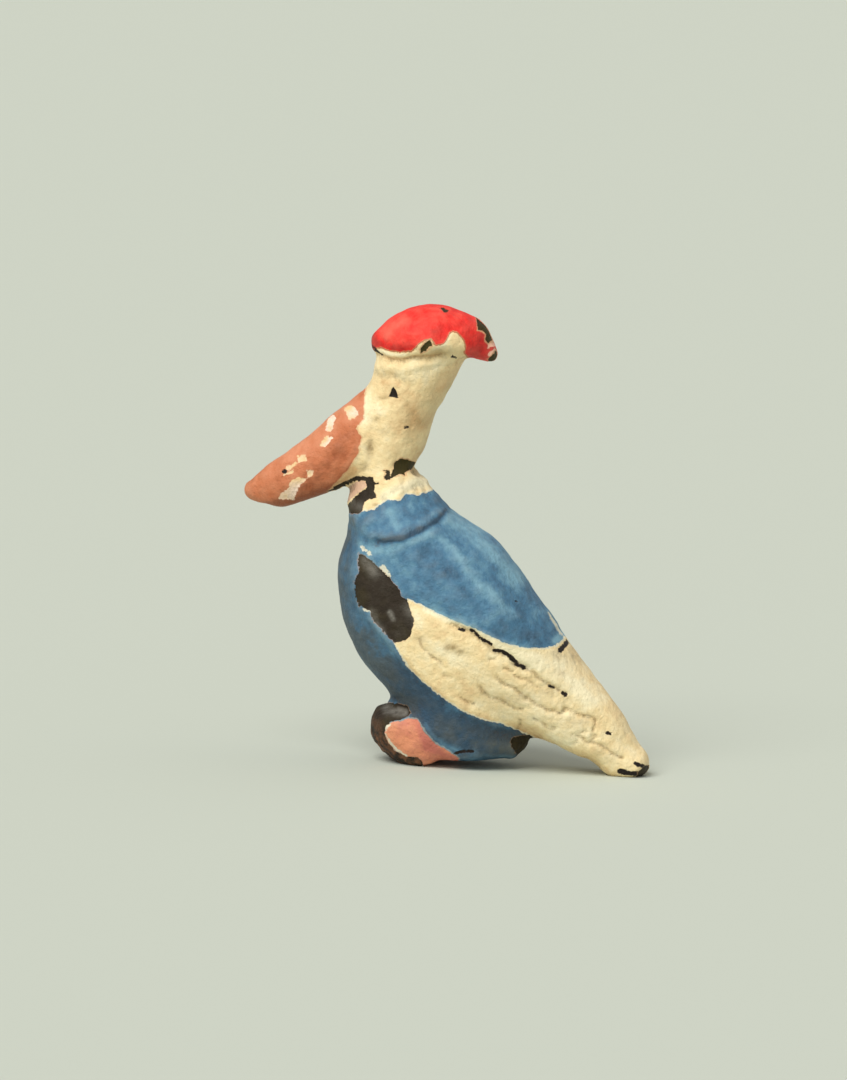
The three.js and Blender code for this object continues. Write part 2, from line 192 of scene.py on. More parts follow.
# Chips through the top colour to the pale paint under it.
PALE_CHIPS = [
    [(488, 344), (494, 339), (498, 344), (489, 347.5)],
    [(489, 352.5), (495, 348.5), (500, 351), (492, 355.5), (488.5, 357)],
    [(345, 408.5), (350, 406.5), (354, 407), (358.5, 414), (354, 417.5), (348.5, 420)],
    [(332.5, 415), (335, 418), (331, 430.5), (325.5, 430.5), (328.5, 420.5)],
    [(325.5, 436.5), (332.5, 437.5), (325.5, 446), (319.5, 446)],
    [(297.5, 456), (305.5, 455.5), (306.5, 460), (299, 462.5)],
    [(286, 467.5), (297.5, 462), (297, 464.5), (287, 469.5)],
    [(284, 475), (293, 470.5), (292, 473)],
    [(307, 471.5), (313, 471), (312.5, 475.5), (307.5, 477)],
    [
        (291, 481), (299, 477.5), (305, 479), (299, 486), (297, 491), (293.5, 499), (280, 498), (281.5, 493),
        (289.5, 489),
    ],
    [(379, 566), (384.5, 566), (391, 577.5), (386, 577.5)],
    [(361, 547), (364, 547), (366, 550.5), (363, 551)],
    [(367, 550), (371, 552), (371, 556), (368, 555)],
    [(363, 608), (371, 610), (371, 613), (364, 611)],
    [(381, 731), (383, 725), (388, 722), (390, 725), (385, 730)],
    [(546, 606), (553, 602), (563, 616), (572, 634), (562, 635), (554, 625), (548, 615)],
    [(385, 733), (389, 742.5), (396, 750.5), (407, 756.5), (407.5, 755.3), (397, 749.2), (390, 741.7)],
]
FAR_PALE_CHIPS = [
    [(336, 424), (342, 421), (345, 426), (339, 433), (335, 430)],
    [(302, 464), (311, 459), (313, 463), (304, 469)],
    [(286, 484), (291, 482), (293, 488), (286, 491)],
    [(420, 345), (432, 341), (436, 346), (424, 351)],
    [(546, 606), (553, 602), (563, 616), (572, 634), (566, 634), (557, 620)],
]
ROSY_PATCH = [(348, 487), (360.5, 479.5), (366.5, 482), (367, 486), (358, 493), (344, 506), (346, 498)]

# Dark strokes of paint or dirt: a half width in pixels, and the way it runs.
DARK_STROKES = [
    (1.1, [(459, 628.5), (464, 630.5)]),
    (1.6, [(470.5, 630), (476, 634), (483, 640), (491, 644.5)]),
    (1.9, [(494.5, 650.5), (502.5, 651.5), (508, 655)]),
    (2.2, [(508, 655), (513, 659), (518, 665), (524, 668)]),
    (1.2, [(550, 686), (554, 688)]),
    (1.8, [(563, 693), (565.5, 695.5)]),
    (1.5, [(607.5, 732.5), (610.5, 734)]),
    (2.4, [(568.5, 640), (565, 645), (560, 650.5)]),
    (2.5, [(620, 771.5), (627, 773), (638, 774)]),
    (2.0, [(635.5, 763.5), (646, 768)]),
    (1.3, [(455, 753.5), (464, 751), (473, 751.5)]),
    (1.0, [(372, 345), (376, 350.5), (381, 354.5)]),
    (1.2, [(453, 356.5), (455.5, 357.2)]),
    (1.2, [(405, 427.2), (408, 427.2)]),
    (1.9, [(283.5, 471), (285, 471.5)]),
    (1.1, [(516, 601), (517, 601.5)]),
]
EYE = [
    (393, 386.5), (390.7, 390.5), (389.7, 394), (387.6, 396.6), (393, 397.2), (398.8, 398.8), (397.3, 394),
    (395.8, 390),
]

# Painted grey shade on the blue coat, on the breast, under the chin and low on the body: a half width in
# pixels, and the way it runs.
COAT_SHADE = [
    (11, [(344, 545), (340, 580), (346, 620), (362, 655)]),
    (13, [(385, 668), (405, 700), (440, 730), (490, 742), (520, 745)]),
    (5, [(352, 520), (349, 545)]),
    (8, [(503, 747), (522, 742)]),
    (12, [(366, 636), (378, 662)]),
]

# Lumpy paint: a half width in pixels, a height in millimetres, and the way it runs. The ruff is first.
LUMPY = [
    (11, 0.2, [(376, 503), (398, 490), (424, 480)]),
    (24, 0.045, [(398, 385), (405, 420), (395, 455)]),
]

# The low edge of the toes, where the bare lead is brown, and a half width in pixels.
RUSTY, RUSTY_HALF = [(362, 738), (378, 756), (410, 768)], 18

# From the nape over the cap, where the bare lead is olive, and a half width in pixels.
OLIVE_LEAD, OLIVE_LEAD_HALF = [(404, 468), (425, 346), (488, 330), (497, 360)], 14

# Grooves cut in the casting: a half width in pixels, a depth in millimetres, and the way each runs.
FEATHER_GROOVES = [
    (2.6, 0.18, [(452, 625), (470, 631), (483, 641), (495, 651), (509, 657), (518, 665), (527, 668.5)]),
    (1.9, 0.1, [(527, 668.5), (545, 682), (566, 694)]),
    (2.0, 0.13, [(498, 678), (506, 684.5), (515.5, 689.5), (523.5, 698), (527.5, 700)]),
    (2.0, 0.14, [(527.5, 700), (538, 706.5), (554, 712), (561.5, 713), (565.5, 709)]),
    (2.0, 0.13, [(565.5, 709), (577, 713.5), (588, 717.5), (595.5, 720)]),
    (2.0, 0.13, [(481, 688), (488, 696), (498, 701.5), (507.5, 704.5), (515, 709.5), (523, 710)]),
    (2.0, 0.1, [(533, 719), (554, 729)]),
    (1.8, 0.1, [(580, 732), (585.5, 731.5)]),
    (1.8, 0.1, [(593, 738), (596, 736)]),
    (1.8, 0.1, [(570.5, 744.5), (577, 742.5)]),
    (2.0, 0.12, [(572, 735), (588, 741), (603, 746), (614, 754), (622, 757)]),
    (1.6, 0.08, [(596, 721.5), (594.5, 731.5)]),
    (1.6, 0.1, [(490, 659), (496, 659.5)]),
    (1.6, 0.1, [(503.5, 669.5), (514, 670.5)]),
    (1.6, 0.08, [(514, 675.5), (526, 679), (538, 685.5)]),
    (1.8, 0.09, [(462.5, 699), (473.5, 705.5)]),
    (1.6, 0.08, [(520.5, 721.5), (518, 729)]),
    (1.6, 0.07, [(443, 675.5), (450.5, 678)]),
    (1.6, 0.07, [(418, 640), (428, 653), (441, 664)]),
]

# Creases of the body, in the same way.
BODY_CREASES = [
    (3.2, 0.15, [(377, 354), (390, 360), (403, 361), (414, 358.5), (432, 358.5), (443, 356)]),
    (4.0, 0.12, [(376, 374), (385, 377), (394, 378), (402, 381)]),
    (2.6, 0.1, [(379, 397.5), (391, 396.5)]),
    (2.6, 0.06, [(425, 372), (440, 366), (455, 364)]),
    (3.0, 0.08, [(371, 440), (372, 452), (366, 466)]),
    (4.6, 0.2, [(376, 543), (390, 545), (405, 541), (425, 531), (440, 520.5), (446, 514)]),
    (9.0, 0.16, [(432, 553), (447, 566), (463, 586), (479, 605)]),
    (8.0, 0.16, [(456, 503), (466, 509)]),
]

# Where the surface is eased in or out to meet the outline: a half width in pixels, a push in millimetres.
PUSHES = [
    (11, -0.55, [(452, 501), (456, 505)]),
    (9, -0.5, [(372, 752), (382, 760)]),
    (9, -0.7, [(440, 769), (473, 771), (505, 769)]),
    (9, -0.5, [(585, 767), (594, 771)]),
    (8, -0.2, [(348, 397), (358, 390)]),
    (6, 0.4, [(424, 480), (434, 492), (437, 496)]),
    (4.5, -0.8, [(424, 475), (418, 470)]),
    (5, 0.15, [(422, 446), (424, 451)]),
    (6, -0.3, [(518, 758), (524, 754)]),
    (5, 0.2, [(480, 363), (489, 364)]),
    (4, -0.15, [(499, 349), (500, 353)]),
    (7, 0.12, [(370, 722), (371, 732)]),
    (4, -0.3, [(383, 701), (387, 705)]),
    (5, -0.1, [(348, 486), (349, 494)]),
    (4, -0.3, [(346, 486), (350, 488)]),
    (8, 0.12, [(520, 568), (526, 578)]),
    (5, -0.12, [(346, 515), (347, 530)]),
    (8, -0.1, [(385, 322), (400, 311)]),
    (8, -0.1, [(456, 308), (482, 321)]),
    (7, -0.1, [(264, 466), (282, 452)]),
    (6, -0.1, [(292, 503), (328, 494)]),
    (5, 0.12, [(246, 492), (258, 502)]),
]

# The wrinkled lower wing: its middle, slope in degrees, and reaches along and across in pixels.
WRINKLE_CENTRE, WRINKLE_SLOPE, WRINKLE_REACH = (530, 704), 35, (105, 34)

# One wrinkle: its size along and across in pixels, its share of the gap, and how sharply the field ends.
WRINKLE_SIZE, WRINKLE_SHARE, WRINKLE_END = (30, 9), 0.12, 1.6

# Raised ridges of the casting: a half width in pixels, a height in millimetres, and the way each runs.
RIDGES = [
    (3.4, 0.1, [(378, 367), (395, 369), (420, 367), (440, 362)]),
    (7.0, 0.13, [(434, 532), (452, 546), (468, 570), (491, 591), (505, 609), (514, 615)]),
    (4.0, 0.06, [(372, 534), (386, 536), (402, 532), (422, 522), (436, 511)]),
    (2.2, 0.1, [(455, 619), (475, 627), (495, 638), (512, 645)]),
    (2.6, 0.08, [(379, 350), (392, 354.5), (404, 355), (414, 352.5), (430, 351)]),
    (4.0, 0.08, [(366, 386), (364, 405), (362, 425), (358, 445), (345, 468)]),
    (5.0, 0.1, [(500, 557), (530, 597), (552, 626)]),
]

# Painted highlights and painted shade, with some lighter paint and brownish stains among them: a half
# width in pixels, a strength (below 0 is dark), and the way it runs.
SHADING_AND_TONES = [
    (6.5, 0.45, [(430, 531), (450, 548), (465, 571), (489, 591), (503, 609), (512, 615)]),
    (3.0, 0.35, [(440, 540), (452, 547), (462, 562)]),
    (3.0, 0.35, [(476, 582), (491, 592), (500, 604), (512, 611)]),
    (10.0, 0.95, [(450, 518), (470, 530), (495, 553), (515, 577)]),
    (4.0, 0.8, [(389, 512), (394, 520), (397, 528)]),
    (3.0, 0.5, [(410, 505), (414, 513)]),
    (5.0, 0.7, [(362, 545), (375, 551), (400, 547), (425, 536)]),
    (10.0, -0.35, [(430, 553), (445, 565), (462, 585), (478, 604)]),
    (12.0, -0.25, [(500, 625), (530, 635), (545, 640)]),
    (3.2, -1.5, [(378, 541.5), (402, 538.5), (424, 528), (438.6, 518.5), (446, 510)]),
    (6.0, -0.5, [(424, 514), (434, 504), (441, 497)]),
    (10.0, -0.5, [(345, 545), (343, 580), (350, 620), (362, 650)]),
    (22.0, -1.5, [(396, 680), (440, 722), (490, 740), (522, 742)]),
    (4.0, 0.5, [(372, 612), (385, 640), (394, 654)]),
    (3.0, 1.0, [(426, 724), (432, 735), (443, 745), (458, 751)]),
    (3.0, 1.1, [(501, 756), (513, 756)]),
    (4.0, 1.6, [(555, 641), (563, 634)]),
    (3.0, 0.4, [(415, 598), (445, 611), (475, 624)]),
    (9.0, -0.35, [(449, 368), (437, 392), (429, 415), (425, 440), (418, 455)]),
    (9.0, 0.5, [(378, 368), (395, 374), (420, 376), (440, 368)]),
    (1.7, -0.9, [(379, 354), (390, 358.5), (403, 359), (414, 356.5), (432, 356.5), (441, 354.5)]),
    (6.0, 0.4, [(370, 392), (371, 410), (366, 425)]),
    (6.0, 1.3, [(384, 497), (405, 487), (426, 480)]),
    (7.0, 0.5, [(410, 610), (430, 640), (455, 662)]),
    (4.0, 0.5, [(403, 652), (430, 680), (455, 702), (475, 713)]),
    (9.0, 0.8, [(480, 706), (510, 718), (540, 728), (570, 744)]),
    (12.0, 0.4, [(460, 660), (500, 690), (540, 710), (590, 735)]),
    (4.0, -1.2, [(372, 336), (372, 347)]),
    (2.6, 1.0, [(379, 350.5), (390, 354), (404, 354.5)]),
    (2.0, 0.8, [(434, 349), (441, 346.5), (447, 341), (450, 334)]),
    (12.0, 1.0, [(515, 655), (560, 668), (590, 702)]),
    (3.0, -0.5, [(556, 742), (585, 757), (608, 770)]),
    (10.0, 0.7, [(290, 455), (320, 437), (350, 415)]),
    (5.0, -1.3, [(352, 470), (342, 482), (326, 492), (300, 500), (270, 505)]),
    (7.0, -0.6, [(326, 466), (338, 452)]),
    (4.0, 0.5, [(270, 463), (300, 441), (333, 414), (362, 389)]),
    (5.0, 0.5, [(360, 405), (362, 418)]),
    (8.0, -1.3, [(508, 746), (522, 742)]),
    (4.0, -0.6, [(383, 382), (398, 384)]),
    (8.0, -0.9, [(428, 744), (440, 755), (456, 762)]),
    (6.0, 0.9, [(384, 333), (393, 325), (404, 320)]),
    (4.0, -0.7, [(377, 343), (388, 347), (402, 349)]),
    (9.0, -0.9, [(473, 352), (484, 346), (488, 335)]),
    (6.0, 0.7, [(366, 561), (374, 571)]),
    (6.0, 2.0, [(388, 709), (404, 712)]),
    (2.2, 2.2, [(389, 613), (392.5, 619)]),
    (2.6, 1.5, [(425, 609), (443, 616.5), (475, 630), (497, 644), (515, 655), (530, 667)]),
    (2.0, 1.2, [(549, 611), (558, 624), (565, 634)]),
    (14.0, -0.85, [(406, 404), (410, 422)]),
    (5.0, 0.45, [(352, 502), (360, 507)]),
    (10.0, -0.4, [(347, 425), (346, 455)]),
    (7.0, -0.5, [(300, 490), (318, 478)]),
    (8.0, -0.15, [(396, 440), (398, 452)]),
]

# Soft stains in the pale paint: a centre, two radii in pixels, and a strength.
STAINS = [
    (559, 655.5, 6, 5, 0.6), (562, 673, 5, 4, 0.35), (451, 648, 7, 4, 1.0), (460, 652, 5, 3, 0.7),
    (377, 418, 5, 4, 0.8), (370, 447, 5, 9, 0.9), (407.5, 405, 3, 3, 0.8), (384, 433, 7, 5, 0.4),
    (390, 425, 5, 4, 0.4), (363, 467, 6, 5, 0.5), (370, 427, 3, 3, 0.5), (408, 382, 6, 5, 0.3),
    (414, 420, 11, 9, 0.45), (415, 473, 5, 3, 0.7), (376, 505, 3, 1.5, 1.0), (398, 489, 4, 2, 0.35),
    (382, 397.5, 5, 1.5, 0.9), (450, 385, 6, 12, 0.3), (388, 374, 12, 4, 0.5), (440, 352, 12, 5, 0.6),
    (430, 395, 9, 22, 0.35), (412, 440, 9, 8, 0.3), (395, 452, 10, 5, 0.25), (575, 655, 9, 8, 0.5),
    (545, 690, 14, 5, 0.35), (482, 692, 5, 4, 0.5), (580, 722, 22, 5, 0.3), (420, 640, 8, 4, 0.3),
    (600, 752, 9, 4, 0.3), (510, 700, 30, 5, 0.25),
]


def outline_depth(places, outline):
    """How deep inside a closed outline each place is, in pixels, and negative outside it."""
    inside = np.zeros(len(places), bool)
    nearest = np.full(len(places), np.inf)
    corners = np.array(outline, float)
    x, y = places.T
    for a, b in zip(corners, np.roll(corners, -1, axis=0)):
        nearest = np.minimum(nearest, segment_distance(places, a, b))
        if a[1] == b[1]:
            continue
        crosses = (a[1] > y) != (b[1] > y)
        inside ^= crosses & (x < a[0] + (b[0] - a[0]) * (y - a[1]) / (b[1] - a[1]))
    return np.where(inside, nearest, -nearest)


def segment_distance(places, a, b):
    """How far each place is from the straight line between two corners, in pixels."""
    way = b - a
    share = np.clip(((places - a) @ way) / (way @ way), 0, 1)
    return np.linalg.norm(places - a - share[:, None] * way, axis=1)


def path_distance(places, path):
    """How far each place is from a path of straight lines, in pixels."""
    knots = np.array(path, float)
    return np.min([segment_distance(places, a, b) for a, b in zip(knots, knots[1:])], axis=0)


def deepest(places, outlines):
    """How deep inside any of the outlines each place is, in pixels."""
    return np.max([outline_depth(places, o) for o in outlines], axis=0)


def fading(places, path, half):
    """1 on a path, and fading softly to 0 beside it."""
    return np.exp(-((path_distance(places, path) / half) ** 2))


def summed(places, marks, widening=1):
    """The strengths of all marks at each place. A mark is a half width, a strength and a path."""
    return sum(strength * fading(places, path, widening * half) for half, strength, path in marks)


def casting_surface():
    """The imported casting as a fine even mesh, and its points in millimetres."""
    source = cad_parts["pelican_casting"]
    work = bmesh.new()
    work.from_mesh(source.data)
    work.transform(source.matrix_world)
    bmesh.ops.remove_doubles(work, verts=work.verts, dist=MERGE_DISTANCE * MM)
    mesh = bpy.data.meshes.new("pelican_work")
    work.to_mesh(mesh)
    work.free()
    shape = bpy.data.objects.new("pelican_work", mesh)
    bpy.context.scene.collection.objects.link(shape)
    rounding = shape.modifiers.new("rounding", "SUBSURF")
    rounding.levels = 1
    even = shape.modifiers.new("even", "REMESH")
    even.mode = "VOXEL"
    even.voxel_size = VOXEL * MM
    depsgraph = bpy.context.evaluated_depsgraph_get()
    fine = bpy.data.meshes.new_from_object(shape.evaluated_get(depsgraph))
    bpy.data.objects.remove(shape)
    points = np.empty(len(fine.vertices) * 3)
    fine.vertices.foreach_get("co", points)
    return fine, points.reshape(-1, 3) / MM


def edge_ends(mesh):
    """The two points of each edge."""
    ends = np.empty(len(mesh.edges) * 2, np.int64)
    mesh.edges.foreach_get("vertices", ends)
    return ends.reshape(-1, 2)


def neighbour_means(values, ends):
    """Each point's mean of a value over its neighbours."""
    total = np.zeros_like(values)
    np.add.at(total, ends[:, 0], values[ends[:, 1]])
    np.add.at(total, ends[:, 1], values[ends[:, 0]])
    count = np.bincount(ends.ravel(), minlength=len(values)).astype(float)
    return total / (count[:, None] if values.ndim == 2 else count)


def half_smoothed(points, ends):
    """Each point moved half of the way to the middle of its neighbours."""
    return 0.5 * points + 0.5 * neighbour_means(points, ends)


def point_normals(mesh, points):
    """The normal at each point, once the mesh has been given the points."""
    mesh.vertices.foreach_set("co", (points * MM).ravel())
    mesh.update()
    normals = np.empty(len(points) * 3)
    mesh.vertex_normals.foreach_get("vector", normals)
    return normals.reshape(-1, 3)


def lumps(points, size, seed):
    """Smooth random values, about -1 to 1, one for each point."""
    shift = Vector([seed * step for step in SEED_SHIFT])
    return np.array([noise.noise(Vector(p) / size + shift) for p in points])


def wavered(points):
    """Picture places shaken a little, so that no carved line is straight."""
    shake = np.stack([lumps(points, WAVER_SIZE, seed) for seed in WAVER_SEEDS], axis=1)
    return to_picture(points) + WAVER_PX * shake


def wing_wrinkles(places):
    """Fine ragged feather lines along the lower wing, 0 to 1."""
    (x, y), slope = WRINKLE_CENTRE, math.radians(WRINKLE_SLOPE)
    along = (places[:, 0] - x) * math.cos(slope) + (places[:, 1] - y) * math.sin(slope)
    across = (places[:, 1] - y) * math.cos(slope) - (places[:, 0] - x) * math.sin(slope)
    reach = (along / WRINKLE_REACH[0]) ** 2 + (across / WRINKLE_REACH[1]) ** 2
    field = np.stack((along / WRINKLE_SIZE[0], across / WRINKLE_SIZE[1], np.zeros_like(along)), axis=1)
    grain = lumps(field, 1.0, WRINKLE_SEED)
    return np.clip(1 - np.abs(grain) / WRINKLE_SHARE, 0, 1) * np.clip(WRINKLE_END * (1 - reach), 0, 1)


def paint_maps(points):
    """For each paint, chip and stroke, how deep inside it each point is, in millimetres.

    The soft marks, such as stains and the painted light and shade, are strengths instead.
    """
    places = to_picture(points)
    left, right = SIDE_OVERLAP - points[:, 1], SIDE_OVERLAP + points[:, 1]

    def on_side(outlines, side):
        return np.minimum(deepest(places, outlines) / PX_PER_MM, side)

    strokes = [(half - path_distance(places, path)) / PX_PER_MM for half, path in DARK_STROKES]
    maps = {
        "cap": outline_depth(places, CAP_RED) / PX_PER_MM,
        "beak": outline_depth(places, BEAK_ORANGE) / PX_PER_MM,
        "coat": outline_depth(places, COAT_BLUE) / PX_PER_MM,
        "foot": outline_depth(places, FOOT_SALMON) / PX_PER_MM,
        "bare": np.maximum(on_side(BARE_CHIPS, left), on_side(FAR_BARE_CHIPS, right)),
        "pale": np.maximum(on_side(PALE_CHIPS, left), on_side(FAR_PALE_CHIPS, right)),
        "stroke": np.minimum(np.max(strokes, axis=0), left),
    }
    ragged = RAGGED_REACH * lumps(points, RAGGED_SIZE, RAGGED_SEED)
    maps = {name: depths + ragged for name, depths in maps.items()}
    maps["rosy"] = on_side([ROSY_PATCH], left)
    maps["eye"] = outline_depth(places, EYE) / PX_PER_MM

    stain = np.zeros(len(points))
    for x, y, rx, ry, strength in STAINS:
        reach = ((places[:, 0] - x) / rx) ** 2 + ((places[:, 1] - y) / ry) ** 2
        stain = np.maximum(stain, strength * np.exp(-reach))
    shaken = wavered(points)
    grooves = [fading(shaken, path, half) for half, _, path in FEATHER_GROOVES]
    maps["stain"] = stain
    # The painted highlights and painted shade, with some paint tones, as one map.
    maps["shading_and_tone"] = summed(places, SHADING_AND_TONES)
    maps["groove"] = np.max(grooves, axis=0)
    maps["coat_shade"] = sum(fading(places, path, half) for half, path in COAT_SHADE)
    maps["wrinkle"] = wing_wrinkles(places)
    maps["rust"] = fading(places, RUSTY, RUSTY_HALF)
    maps["olive"] = fading(places, OLIVE_LEAD, OLIVE_LEAD_HALF)
    return maps


def relief(points, maps):
    """How far each point is moved out along its normal, in millimetres."""
    places = wavered(points)
    grain = lumps(points, GRAIN_SIZE, GRAIN_SEED)
    pits = lumps(points, PITTED_SIZE, PITTED_SEED)
    chipped = np.clip(0.5 + maps["bare"] / CHIP_EDGE, 0, 1)
    thinned = np.clip(0.5 + maps["pale"] / CHIP_EDGE, 0, 1)
    out = LUMP_HEIGHT * lumps(points, LUMP_SIZE, LUMP_SEED) + GRAIN_HEIGHT * grain
    out += grain * summed(places, LUMPY)
    out -= PAINT_THICKNESS * np.maximum(chipped, thinned * PALE_CHIP_SHARE)
    out += PITTED_HEIGHT * chipped * pits
    out -= GROOVE_GAIN * summed(places, FEATHER_GROOVES, GROOVE_GAIN)
    out -= summed(places, BODY_CREASES)
    out += summed(places, RIDGES)
    out -= EYE_DEPTH * np.clip(outline_depth(places, EYE) / EYE_SLOPE_PX, 0, 1)
    return out - WRINKLE_DEPTH * maps["wrinkle"]


def hollows_and_crests(points, normals, ends):
    """How far each point is in a hollow, and how far on a crest, each 0 to 1."""
    wide = points
    for _ in range(HOLLOW_PASSES):
        wide = half_smoothed(wide, ends)
    rise = neighbour_means(((wide - points) * normals).sum(axis=1), ends)
    return np.clip(rise / HOLLOW_RISE, 0, 1), np.clip(-rise / HOLLOW_RISE, 0, 1)


def make_casting():
    """The whole bird as one mesh that carries its paint maps."""
    mesh, points = casting_surface()
    ends = edge_ends(mesh)
    normals = point_normals(mesh, points)
    points = points + normals * summed(to_picture(points), PUSHES)[:, None]
    for _ in range(SMOOTHINGS):
        points = half_smoothed(points, ends)
    maps = paint_maps(points)
    normals = point_normals(mesh, points)
    low = np.clip(1 - points[:, 2] / FOOT_FADE, 0, 1)
    points = points + normals * (relief(points, maps) * (1 - low))[:, None]
    sole = (points[:, 2] < SOLE_HEIGHT) & (normals[:, 2] < SOLE_NORMAL)
    points[:, 2] = np.where(sole, 0, np.maximum(points[:, 2], 0))
    normals = point_normals(mesh, points)
    maps["hollow"], maps["crest"] = hollows_and_crests(points, normals, ends)
    for name, values in maps.items():
        attribute = mesh.attributes.new(name, "FLOAT", "POINT")
        attribute.data.foreach_set("value", np.clip(values, -MAP_LIMIT, MAP_LIMIT).astype(np.float32))
    mesh.shade_smooth()
    mesh.name = "pelican"
    casting = bpy.data.objects.new("pelican", mesh)
    bpy.context.scene.collection.objects.link(casting)
    return casting


def linear(red, green, blue):
    """A picture colour, 0 to 255, as the linear colour that a shader takes, by the sRGB curve."""
    channels = (c / 255 for c in (red, green, blue))
    return tuple(c / 12.92 if c <= 0.04045 else ((c + 0.055) / 1.055) ** 2.4 for c in channels) + (1.0,)


# Each paint as it is, a lighter copy and a darker copy. The copies give random unevenness and also carry
# the painted highlights and painted shade.
CREAM = linear(244, 220, 168), linear(255, 245, 208), linear(206, 164, 112)
RED = linear(240, 44, 36), linear(255, 102, 84), linear(170, 12, 14)
BLUE = linear(76, 121, 151), linear(130, 174, 192), linear(36, 54, 74)
ORANGE = linear(200, 118, 78), linear(222, 146, 110), linear(140, 70, 36)
SALMON = linear(230, 150, 112), linear(238, 164, 130), linear(184, 98, 92)
LEAD = linear(50, 41, 31), linear(124, 120, 112), linear(34, 25, 18)

# Lead that has turned, what shows in and round the chips, stains, a dark brown for dirt specks and for
# the painted shade in hollows, the painted shade in grooves and on the coat, and black.
OLIVE, RUST = linear(72, 64, 20), linear(132, 90, 62)
PALE, PALE_WARM, FLESH = linear(255, 230, 208), linear(238, 206, 152), linear(252, 200, 172)
ROSE, PRIMER = linear(216, 178, 150), linear(216, 168, 124)
WHITE_EDGE, EDGE = linear(222, 224, 204), linear(178, 84, 44)
STAIN, DIRT_AND_HOLLOW_SHADE, GROOVE_SHADE = linear(138, 110, 62), linear(92, 66, 40), linear(158, 126, 78)
SHADE_GREY, SOOT = linear(72, 80, 83), linear(30, 20, 15)

# The paints over the cream, in the order they were brushed on: a paint, its thin rim, and the rim's strength.
AREAS = {
    "coat": (BLUE, WHITE_EDGE, 0.7),
    "beak": (ORANGE, EDGE, 0.3),
    "foot": (SALMON, WHITE_EDGE, 0.3),
    "cap": (RED, EDGE, 0.9),
}

# Noises in the paint: the size of a spot in millimetres, a detail, and for some a roughness.
RAGGED_EDGES = (0.28, 4.0)
SPECKS = (0.3, 4.0)
BLOTCHES = (1.8, 5.0)
BROAD_PATCHES = (5.5, 3.0)
STREAKS = (0.7, 5.0, 0.6)
STAIN_SPOTS = (0.7, 4.0)
GROOVE_SHADE_SPOTS = (0.5, 4.0)
RUST_SPOTS = (0.9, 4.0)
BRUSH_MARKS = (0.8, 6.0, 0.6)
GRIT = (0.45, 5.0, 0.7)

# How far each noise swings the paint lighter and darker.
BLOTCH_SWING, STREAK_SWING, BROAD_SWING = 2.0, 1.4, 1.0

# Where a noise or a groove starts to show, and where it shows fully.
HOLLOW_SHADE_SHOWS = (0.3, 0.7)
SPECKS_SHOW = (0.68, 0.76)
STAINS_SHOW = (0.2, 0.65)
GROOVES_SHOW = (0.15, 1.0)
GROOVE_SPOTS_SHOW = (0.36, 0.62)
PATCHES_SHOW = (0.3, 0.6)
RUST_SHOWS = (0.42, 0.6)
OLIVE_SHOWS = (0.45, 0.6)
WARM_SHOWS = (0.35, 0.65)
PRIMER_SHOWS = (0.4, 0.55)

# The thin rim of a paint area, how ragged a chip is, and the line of primer round it, in millimetres. There
# is more primer round the olive lead.
RIM_WIDTH, RIM_SOFTNESS = 0.13, 0.05
CHIP_WOBBLE = 0.4
PRIMER_EDGE, PRIMER_OLIVE_WIDTH = (-0.1, -0.04), 0.09
PRIMER_STRENGTH, PRIMER_OLIVE_STRENGTH = 0.4, 0.4
# How strongly the wing's wrinkles take the painted groove shade.
WRINKLE_SHADE = 0.25

# How much each mark raises or lowers the bump, and how deep the whole bump is in millimetres.
BRUSH_RISE, SPECK_RISE, GRIT_RISE = 1.6, 0.3, 0.8
CHIP_DIP, STROKE_DIP, GROOVE_DIP = 0.7, 0.4, 0.3
BUMP_DEPTH = 0.16

# The gloss: clean paint's roughness, what blotches, the shaded hollows and lead add to it, and the shine.
BASE_ROUGHNESS, BLOTCH_ROUGHNESS, HOLLOW_SHADE_ROUGHNESS, LEAD_ROUGHNESS = 0.38, 0.3, 0.2, 0.12
LEAD_METALLIC = 0.15
SPECULAR_LEVEL = 0.28


class Nodes:
    """Short ways to add shader nodes to one material."""

    def __init__(self, name):
        self.material = bpy.data.materials.new(name)
        self.material.use_nodes = True
        self.tree = self.material.node_tree
        self.tree.nodes.clear()

    def add(self, kind, **settings):
        """A new node of a kind, with its settings."""
        node = self.tree.nodes.new(kind)
        for key, value in settings.items():
            setattr(node, key, value)
        return node

    def join(self, source, socket):
        """Links an output to a socket, or sets the socket to a plain value."""
        if hasattr(source, "is_output"):
            self.tree.links.new(source, socket)
        else:
            socket.default_value = source

    def math(self, operation, a, b, clamp=False):
        """One step of arithmetic on outputs or plain numbers."""
        node = self.add("ShaderNodeMath", operation=operation, use_clamp=clamp)
        self.join(a, node.inputs[0])
        self.join(b, node.inputs[1])
        return node.outputs[0]

    def plus(self, a, b, clamp=False):
        return self.math("ADD", a, b, clamp)

    def minus(self, a, b, clamp=False):
        return self.math("SUBTRACT", a, b, clamp)

    def times(self, a, b, clamp=False):
        return self.math("MULTIPLY", a, b, clamp)

    def attribute(self, name):
        """One of the mesh's paint maps."""
        return self.add("ShaderNodeAttribute", attribute_name=name).outputs["Fac"]

    def step(self, value, low, high):
        """0 below low, 1 above high, and smooth between them."""
        node = self.add("ShaderNodeMapRange", interpolation_type="SMOOTHSTEP")
        self.join(value, node.inputs["Value"])
        node.inputs["From Min"].default_value = low
        node.inputs["From Max"].default_value = high
        return node.outputs["Result"]

    def mix(self, share, under, over, strength=1.0):
        """One colour over another, by a share and a strength."""
        node = self.add("ShaderNodeMix", data_type="RGBA")
        self.join(share if strength == 1.0 else self.times(share, strength), node.inputs["Factor"])
        self.join(under, node.inputs["A"])
        self.join(over, node.inputs["B"])
        return node.outputs["Result"]

    def finish(self, shader):
        """Puts a surface shader on the material's output."""
        out = self.add("ShaderNodeOutputMaterial")
        self.join(shader.outputs["BSDF"], out.inputs["Surface"])
        return self.material


